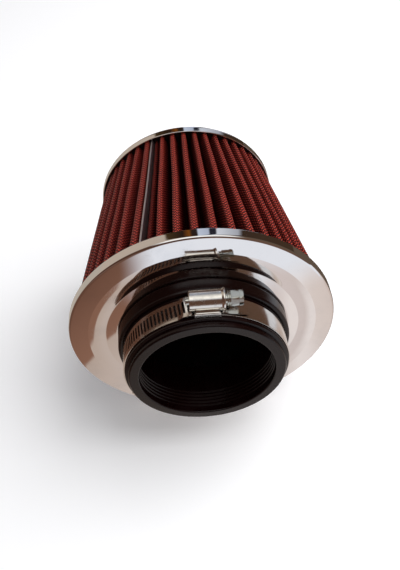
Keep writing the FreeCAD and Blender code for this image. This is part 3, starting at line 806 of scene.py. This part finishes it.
def thicken(piece, thickness, bevel):
    """Gives an open sheet its thickness, inwards, and rounds its edges."""
    solid = piece.modifiers.new("thickness", "SOLIDIFY")
    solid.thickness = thickness * mm
    solid.offset = -1
    edges = piece.modifiers.new("edges", "BEVEL")
    edges.width = bevel * mm
    edges.segments = 3
    edges.limit_method = "ANGLE"
    edges.angle_limit = np.radians(50)
    edges.harden_normals = True


thicken(slotted, band_sheet, 0.26)
slotted.data.materials.append(stainless)
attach(slotted, "strip")
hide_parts("clamp_band_tail")


# ---- Saddle -------------------------------------------------------------------------------
# A short plate under the housing, spot-welded on the loop; the slotted strip slides over it.
saddle_r = 46.68
saddle_sheet = 0.5
saddle_half = 6.47
degrees = np.linspace(83, 97, 24)
saddle = bent_strip("saddle", degrees, np.full(24, saddle_r), strip_section(saddle_sheet, saddle_half))
saddle.data.materials.append(stainless)
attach(saddle, "clamp")
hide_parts("clamp_saddle")


# ---- Housing ------------------------------------------------------------------------------
# Pressed stainless arch over the worm: a round back with a rolled bead at the head's end, and a skirt at each
# side that comes down beside the band. Each end has a pierced wall that the screw turns in.
screw_z = 51.31
arch_r = 5.4
housing_half = 9.3
skirt_x = 6.8
skirt_y = 7.3
skirt_inner = 4.3
skirt_foot = 46.1
shoulder_z = 49.0
pressed_sheet = 0.8
bead = 0.62


def about_screw(name, outline, turns, closed=True):
    """Carries an outline's (x, radius) round the screw's axis through the given angles, counted from +Y
    to +Z."""
    x, r = outline[:, 0] * mm, outline[:, 1] * mm
    turn = np.radians(turns)[:, None]
    y = clamp_y * mm + r * np.cos(turn)
    z = screw_z * mm + r * np.sin(turn)
    points = np.stack([np.broadcast_to(x, y.shape), y, z], -1)
    if closed:
        return facing_out(grid_mesh(name, points, wrap_rows=True, wrap_columns=True))
    return facing_out(grid_mesh(name, points, wrap_columns=True, ends=True))


def joined(name, pieces):
    """One object from several finished meshes."""
    places, faces, start = [], [], 0
    for piece in pieces:
        mesh = piece.data
        spots = np.empty(len(mesh.vertices) * 3)
        mesh.vertices.foreach_get("co", spots)
        places.append(spots.reshape(-1, 3))
        faces += [[start + k for k in face.vertices] for face in mesh.polygons]
        start += len(spots) // 3
        bpy.data.objects.remove(piece)
    mesh = bpy.data.meshes.new(name)
    mesh.from_pydata(np.vstack(places), [], faces)
    mesh.polygons.foreach_set("use_smooth", np.ones(len(faces), bool))
    mesh.set_sharp_from_angle(angle=np.radians(35))
    whole = bpy.data.objects.new(name, mesh)
    bpy.context.scene.collection.objects.link(whole)
    return whole


half, under = housing_half, arch_r - pressed_sheet
arch_corners = [(-half, under, 0.15), (-half, arch_r, 0.3), (half - 1.9, arch_r, 0.8),
                (half - 0.9, arch_r + bead, 0.35), (half, arch_r + bead, 0.3), (half, under, 0.15)]
arch = about_screw("arch", rounded(arch_corners, 6), np.linspace(-24, 204, 76), closed=False)


def wall(x, hole):
    """Pierced wall that closes one end of the arch: x is its left face, and hole is the screw hole's radius."""
    rim = arch_r - 0.5
    corners = [(x, hole, 0.1), (x + pressed_sheet, hole, 0.1), (x + pressed_sheet, rim, 0.1), (x, rim, 0.1)]
    return about_screw("wall", rounded(corners, 3), np.linspace(0, 360, 64, endpoint=False))


def skirt(side):
    """Side sheet: from inside the arch's wall out to the shoulder, round it, and down to just above the neck.
    Its ends lean in a little towards the shoulder."""
    inside, below = skirt_y - pressed_sheet, shoulder_z - pressed_sheet
    section = rounded([(skirt_inner, shoulder_z, 0), (skirt_y, shoulder_z, 0.8), (skirt_y, skirt_foot, 0),
                       (inside, skirt_foot, 0), (inside, below, 0.3), (skirt_inner, below, 0)], 6)
    x = np.array([-1, -0.985, -0.9, -0.5, 0, 0.5, 0.9, 0.985, 1])[:, None]
    top = np.clip((section[:, 1] - 47.6) / 1.4, 0, 1)
    along = x * (skirt_x - 0.9 * top ** 2)
    drop = np.where(section[:, 1] < 47, np.sqrt(skirt_foot ** 2 - along ** 2) - skirt_foot, 0)
    points = np.stack(np.broadcast_arrays(along, clamp_y + side * section[:, 0], section[:, 1] + drop), -1)
    return facing_out(grid_mesh("skirt", points * mm, wrap_columns=True, ends=True))


walls = [wall(-half + 0.05, 2.38), wall(half - 0.85, 3.08)]
housing = joined("housing", [arch, *walls, skirt(-1), skirt(1)])
housing_steel = steel("stainless_pressing", (0.78, 0.75, 0.70), 0.20, 0.15)
housing.data.materials.append(housing_steel)
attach(housing, "clamp")
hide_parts("clamp_housing")


# ---- Screw --------------------------------------------------------------------------------
# Plated steel worm with a grooved collar and a slotted hexagon head; its thin end is staked open like a star.
hexagon_r = 8 / np.sqrt(3)
thread_pitch = 2.5
thread_height = 0.8
x = np.concatenate([[-11.1, -11.0, -9.2, -8.1], np.linspace(-7.9, 7.9, 170), [8.1, 10.35]])
turns = np.linspace(0, 2 * np.pi, 72, endpoint=False)
body_r = np.interp(x, [-11.1, -11.0, -8.1, -7.9, 7.9, 8.1, 10.35], [2.1, 2.3, 2.3, 2.4, 2.4, 3.0, 3.0])
phase = (x[:, None] / thread_pitch + turns / (2 * np.pi)) % 1
ridge = np.clip((0.30 - np.abs(phase - 0.5)) / 0.16, 0, 1)
ridge = ridge * eased(np.abs(x), 6.7, 7.8, 1, 0)[:, None]
star = np.where(x < -9.3, 0.3, 0)[:, None] * (0.5 + 0.5 * np.sin(5 * turns))
r = (body_r[:, None] + thread_height * ridge - star) * mm
spots = np.broadcast_arrays(x[:, None] * mm, clamp_y * mm + r * np.cos(turns), screw_z * mm + r * np.sin(turns))
worm = facing_out(grid_mesh("worm", np.stack(spots, -1), wrap_columns=True, ends=True))
collar_corners = [(10.3, 2.5, 0), (10.3, 4.2, 0.35), (11.05, 4.2, 0.2), (11.2, 3.8, 0.15),
                  (11.4, 3.8, 0.15), (11.55, 4.15, 0.25), (12.2, 4.15, 0.3), (12.2, 2.5, 0)]
collar = about_screw("collar", rounded(collar_corners, 5), np.linspace(0, 360, 96, endpoint=False))


def hexagon_prism(low_x, high_x, low_z=-9.0, high_z=9.0):
    """Hexagonal prism along the screw, between two heights, with its outer end's corners turned off."""
    corner = np.radians(60 * np.arange(6) + 12)
    t = np.linspace(0, 1, 12, endpoint=False)[:, None]
    spots = np.stack([np.cos(corner), np.sin(corner)], -1) * hexagon_r
    ring = (spots[:, None] * (1 - t) + np.roll(spots, -1, 0)[:, None] * t).reshape(-1, 2)
    x = np.array([low_x, low_x + 0.05, high_x - 0.5, high_x - 0.05, high_x])[:, None]
    limit = np.array([9.0, 9.0, 9.0, 4.25, 4.15])[:, None]
    size = np.minimum(1, limit / np.hypot(*ring.T))
    size[2:3] = 1
    y, z = ring[:, 0] * size, np.clip(ring[:, 1] * size, low_z, high_z)
    points = np.stack(np.broadcast_arrays(x, clamp_y + y, screw_z + z), -1)
    return facing_out(grid_mesh("hexagon", points * mm, wrap_columns=True, ends=True))


screw = joined("screw", [worm, collar, hexagon_prism(12.2, 16.4), hexagon_prism(16.35, 18.6, low_z=0.6),
                         hexagon_prism(16.35, 18.6, high_z=-0.6)])
screw_steel = steel("plated_screw", (0.62, 0.63, 0.59), 0.20, 0.0)
screw.data.materials.append(screw_steel)
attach(screw, "screw")
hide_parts("clamp_screw")
